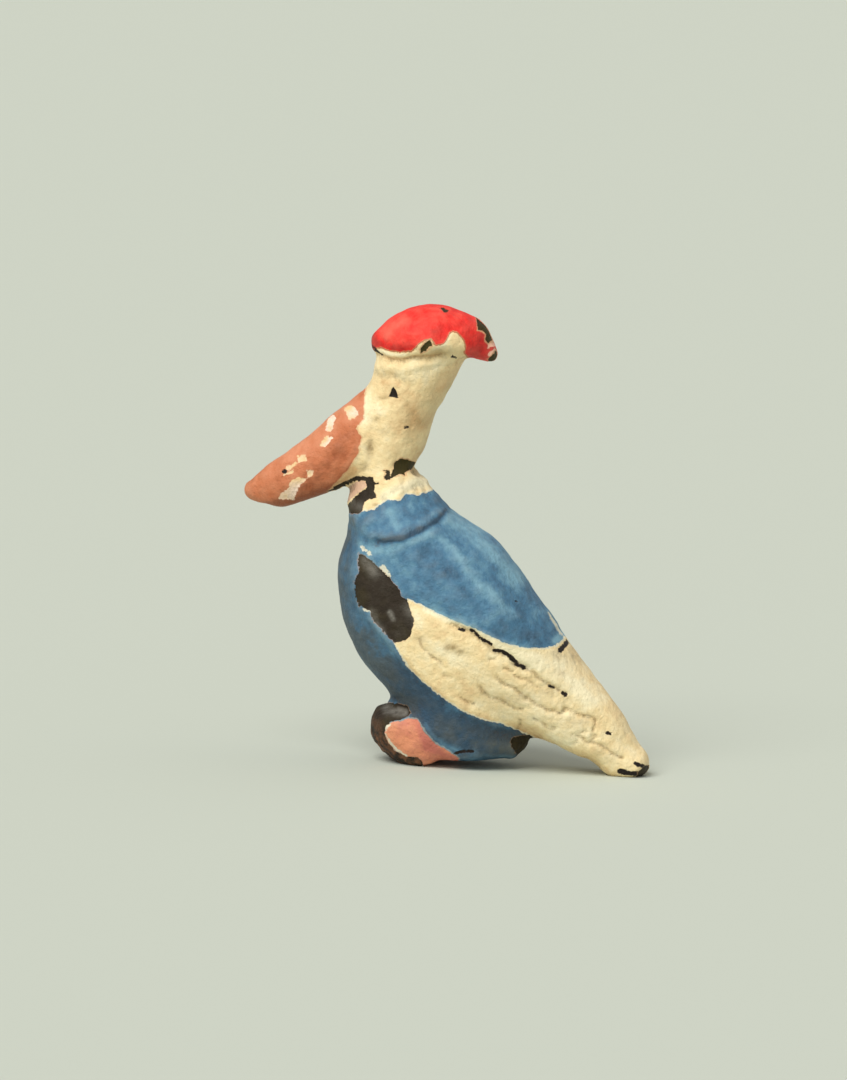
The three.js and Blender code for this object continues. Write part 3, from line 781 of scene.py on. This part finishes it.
class Paint(Nodes):
    """Old hand-brushed paint over dark lead, chipped to sharp edges, with painted shade in its hollows."""

    def __init__(self, name):
        super().__init__(name)
        self.place = self.add("ShaderNodeTexCoord").outputs["Object"]
        self.ragged = self.minus(self.noise(*RAGGED_EDGES), 0.5)
        self.specks = self.noise(*SPECKS)
        self.blotches = self.noise(*BLOTCHES)
        self.broad = self.noise(*BROAD_PATCHES)
        # The painted highlights and painted shade, with some paint tones, as one map from the mesh.
        self.shading_and_tone = self.attribute("shading_and_tone")
        self.olive = self.attribute("olive")
        uneven = 0.0
        streaks = self.noise(*STREAKS)
        swings = (self.blotches, BLOTCH_SWING), (streaks, STREAK_SWING), (self.broad, BROAD_SWING)
        for spots, swing in swings:
            uneven = self.plus(uneven, self.times(self.minus(spots, 0.5), swing))
        # Where each paint turns to its lighter and darker copy: random unevenness plus painted highlight and
        # painted shade.
        self.light = self.plus(self.shading_and_tone, uneven, clamp=True)
        self.dark = self.minus(self.times(uneven, -1.0), self.shading_and_tone, clamp=True)
        # Painted shade: the hollows, broken into patches by the specks.
        self.hollow_shade = self.times(self.attribute("hollow"), self.step(self.specks, *HOLLOW_SHADE_SHOWS))
        # Painted shade in the feather grooves, weaker along the wing's wrinkles, broken into spots.
        wrinkles = self.times(self.attribute("wrinkle"), WRINKLE_SHADE)
        lines = self.math("MAXIMUM", self.attribute("groove"), wrinkles)
        groove_spots = self.step(self.noise(*GROOVE_SHADE_SPOTS), *GROOVE_SPOTS_SHOW)
        self.shaded_grooves = self.times(self.step(lines, *GROOVES_SHOW), groove_spots)
        self.chipped = self.area("bare", wobble=CHIP_WOBBLE, soft=0.02)

    def noise(self, size, detail, roughness=0.55):
        """Noise about 0.5, with spots of about the given size in millimetres."""
        node = self.add("ShaderNodeTexNoise")
        self.join(self.place, node.inputs["Vector"])
        node.inputs["Scale"].default_value = 1 / (size * MM)
        node.inputs["Detail"].default_value = detail
        node.inputs["Roughness"].default_value = roughness
        return node.outputs["Fac"]

    def area(self, name, wobble=0.3, soft=0.025, shift=0.0):
        """1 inside a painted or chipped area and 0 outside, with a ragged edge. Lengths are millimetres."""
        depth = self.plus(self.attribute(name), self.times(self.ragged, wobble))
        return self.step(depth, -soft + shift, soft + shift)

    def brushed(self, paint, most_light=0.75, most_dark=0.75):
        """A paint's own colour, unevenly lighter and darker, and with the painted highlights and painted
        shade.
        """
        plain, pale, deep = paint
        colour = self.mix(self.light, plain, pale, most_light)
        return self.mix(self.dark, colour, deep, most_dark)

    def cream(self):
        """The cream paint, stained, with painted shade in the feather grooves."""
        spots = self.step(self.noise(*STAIN_SPOTS), *STAINS_SHOW)
        spotted = self.times(self.attribute("stain"), spots)
        clean = self.brushed(CREAM, most_light=0.8, most_dark=0.85)
        colour = self.mix(spotted, clean, STAIN, strength=0.95)
        return self.mix(self.shaded_grooves, colour, GROOVE_SHADE, strength=0.45)

    def over_cream(self, colour):
        """The other paints, each with a thin rim, and painted grey shade on the coat."""
        for name, (paint, rim, strength) in AREAS.items():
            outer = self.area(name, soft=RIM_SOFTNESS, shift=-RIM_WIDTH)
            line = self.minus(outer, self.area(name, soft=RIM_SOFTNESS))
            colour = self.mix(line, colour, rim, strength)
            colour = self.mix(self.area(name, soft=0.035), colour, self.brushed(paint))
            if name == "coat":
                # Painted shade: grey in patches on the coat.
                patches = self.step(self.blotches, *PATCHES_SHOW)
                shaded_coat = self.times(self.attribute("coat_shade"), patches, clamp=True)
                colour = self.mix(self.times(shaded_coat, self.area(name)), colour, SHADE_GREY, strength=0.8)
        return colour

    def undercoat(self):
        """What a shallow chip shows: pale paint, whiter on the coat and pinker on the cap."""
        colour = self.mix(self.step(self.blotches, *WARM_SHOWS), PALE, PALE_WARM)
        colour = self.mix(self.area("coat"), colour, WHITE_EDGE, strength=0.85)
        return self.mix(self.area("cap"), colour, FLESH)

    def primer_line(self):
        """Where primer shows round the chips: here and there, and most round the olive ones."""
        depth = self.plus(self.attribute("bare"), self.times(self.ragged, CHIP_WOBBLE))
        depth = self.plus(depth, self.times(self.olive, PRIMER_OLIVE_WIDTH))
        patchy = self.math("MAXIMUM", self.step(self.blotches, *PRIMER_SHOWS), self.olive)
        strength = self.plus(self.times(self.olive, PRIMER_OLIVE_STRENGTH), PRIMER_STRENGTH)
        return self.times(self.times(self.step(depth, *PRIMER_EDGE), patchy), strength)

    def lead(self):
        """Dark lead with painted highlights in places, brown along the toes and olive from the nape over the
        cap.
        """
        _, lead_highlight, _ = LEAD
        greenish = self.step(self.broad, *OLIVE_SHOWS)
        colour = self.mix(greenish, self.brushed(LEAD, most_light=0.2), OLIVE, strength=0.25)
        # Painted highlight: lighter lead where the shading map is bright, in patches.
        bright = self.times(self.shading_and_tone, self.step(self.blotches, *PATCHES_SHOW), clamp=True)
        colour = self.mix(bright, colour, lead_highlight)
        rusted = self.times(self.attribute("rust"), self.step(self.noise(*RUST_SPOTS), *RUST_SHOWS))
        colour = self.mix(rusted, colour, RUST)
        return self.mix(self.olive, colour, OLIVE, strength=0.75)

    def colour(self):
        """Every layer in turn, from the cream to the bare lead in the chips."""
        _, crest_highlight, _ = CREAM
        colour = self.over_cream(self.cream())
        colour = self.mix(self.area("rosy"), colour, ROSE)
        shallow = self.area("pale", wobble=0.5, soft=0.06, shift=-0.05)
        colour = self.mix(shallow, colour, self.undercoat(), strength=0.92)
        # Painted shade: dark brown in the hollows, in patches.
        colour = self.mix(self.hollow_shade, colour, DIRT_AND_HOLLOW_SHADE, strength=0.45)
        # Painted highlight: the crests a little paler.
        colour = self.mix(self.attribute("crest"), colour, crest_highlight, strength=0.07)
        colour = self.mix(self.step(self.specks, *SPECKS_SHOW), colour, DIRT_AND_HOLLOW_SHADE, strength=0.35)
        colour = self.mix(self.area("stroke", wobble=0.35, soft=0.04), colour, SOOT)
        colour = self.mix(self.area("eye", wobble=0.1), colour, SOOT)
        colour = self.mix(self.primer_line(), colour, PRIMER)
        return self.mix(self.chipped, colour, self.lead())

    def height(self):
        """Brush marks and specks, lower in chips, strokes and grooves, and gritty in chips."""
        brushed = self.times(self.noise(*BRUSH_MARKS), BRUSH_RISE)
        height = self.plus(brushed, self.times(self.specks, SPECK_RISE))
        height = self.minus(height, self.times(self.chipped, CHIP_DIP))
        grit = self.times(self.noise(*GRIT), GRIT_RISE)
        height = self.plus(height, self.times(self.chipped, grit))
        height = self.minus(height, self.times(self.area("stroke", soft=0.05), STROKE_DIP))
        return self.minus(height, self.times(self.shaded_grooves, GROOVE_DIP))

    def roughness(self):
        """Uneven, and duller in the shaded hollows and on lead."""
        roughness = self.plus(self.times(self.blotches, BLOTCH_ROUGHNESS), BASE_ROUGHNESS)
        roughness = self.plus(roughness, self.times(self.hollow_shade, HOLLOW_SHADE_ROUGHNESS))
        return self.plus(roughness, self.times(self.chipped, LEAD_ROUGHNESS))


def painted_lead():
    """The paint and the lead under it, as one material."""
    n = Paint("painted_lead")
    bump = n.add("ShaderNodeBump")
    bump.inputs["Strength"].default_value = 1.0
    bump.inputs["Distance"].default_value = BUMP_DEPTH * MM
    n.join(n.height(), bump.inputs["Height"])
    shader = n.add("ShaderNodeBsdfPrincipled")
    n.join(n.colour(), shader.inputs["Base Color"])
    n.join(n.roughness(), shader.inputs["Roughness"])
    n.join(n.times(n.chipped, LEAD_METALLIC), shader.inputs["Metallic"])
    n.join(bump.outputs["Normal"], shader.inputs["Normal"])
    shader.inputs["Specular IOR Level"].default_value = SPECULAR_LEVEL
    return n.finish(shader)


# The studio. The floor's half width is metres. A light has the way towards it, a strength, a spread in
# degrees and a colour.
FLOOR_HALF = 4.0
FLOOR_COLOUR, FLOOR_ROUGHNESS = linear(196, 203, 191), 0.9
SUNS = {
    "key": ((-0.45, -0.8, 1.2), 2.6, 40, (1.0, 0.98, 0.94)),
    "front": ((-0.2, -1.0, 0.3), 0.55, 60, (1.0, 0.97, 0.93)),
    "rear": ((0.6, 0.7, 1.0), 0.35, 70, (1.0, 0.98, 0.95)),
}
SKY_COLOUR, SKY_STRENGTH = (1.0, 0.98, 0.96, 1.0), 0.33


def make_floor():
    """A wide pale floor that fills the picture."""
    half = FLOOR_HALF
    corners = [(-half, -half, 0), (half, -half, 0), (half, half, 0), (-half, half, 0)]
    mesh = bpy.data.meshes.new("floor")
    mesh.from_pydata(corners, [], [(0, 1, 2, 3)])
    floor = bpy.data.objects.new("floor", mesh)
    bpy.context.scene.collection.objects.link(floor)
    n = Nodes("floor")
    shader = n.add("ShaderNodeBsdfPrincipled")
    shader.inputs["Base Color"].default_value = FLOOR_COLOUR
    shader.inputs["Roughness"].default_value = FLOOR_ROUGHNESS
    mesh.materials.append(n.finish(shader))


def make_lights():
    """Wide soft lights, each the same over the whole floor, and a pale sky."""
    for name, (toward, strength, spread, colour) in SUNS.items():
        lamp = bpy.data.lights.new(name, "SUN")
        lamp.energy = strength
        lamp.angle = math.radians(spread)
        lamp.color = colour
        light = bpy.data.objects.new(name, lamp)
        bpy.context.scene.collection.objects.link(light)
        light.rotation_euler = Vector(toward).to_track_quat("Z", "Y").to_euler()
    world = bpy.data.worlds.new("studio")
    world.use_nodes = True
    sky = world.node_tree.nodes["Background"]
    sky.inputs["Color"].default_value = SKY_COLOUR
    sky.inputs["Strength"].default_value = SKY_STRENGTH
    bpy.context.scene.world = world
    bpy.context.scene.view_settings.view_transform = "Standard"


def make_camera():
    """A long lens at the reference picture's angle, with the picture's frame on the bird."""
    width, height = PICTURE_SIZE
    right, up, back = AXES
    across = (width / 2 - ORIGIN_PX[0]) / PX_PER_MM
    above = (ORIGIN_PX[1] - height / 2) / PX_PER_MM
    target = across * right + above * up
    data = bpy.data.cameras.new("camera")
    data.sensor_width = SENSOR
    data.lens = SENSOR * CAMERA_DISTANCE / (height / PX_PER_MM)
    data.clip_start = CAMERA_CLIP_START
    camera = bpy.data.objects.new("camera", data)
    bpy.context.scene.collection.objects.link(camera)
    turn = Matrix([[right[i], up[i], back[i]] for i in range(3)]).to_4x4()
    camera.matrix_world = Matrix.Translation(Vector((target + CAMERA_DISTANCE * back) * MM)) @ turn
    bpy.context.scene.camera = camera


make_camera()
make_floor()
make_lights()
pelican = make_casting()
pelican.data.materials.clear()
pelican.data.materials.append(painted_lead())
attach(pelican, "root")
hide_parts("pelican_casting")
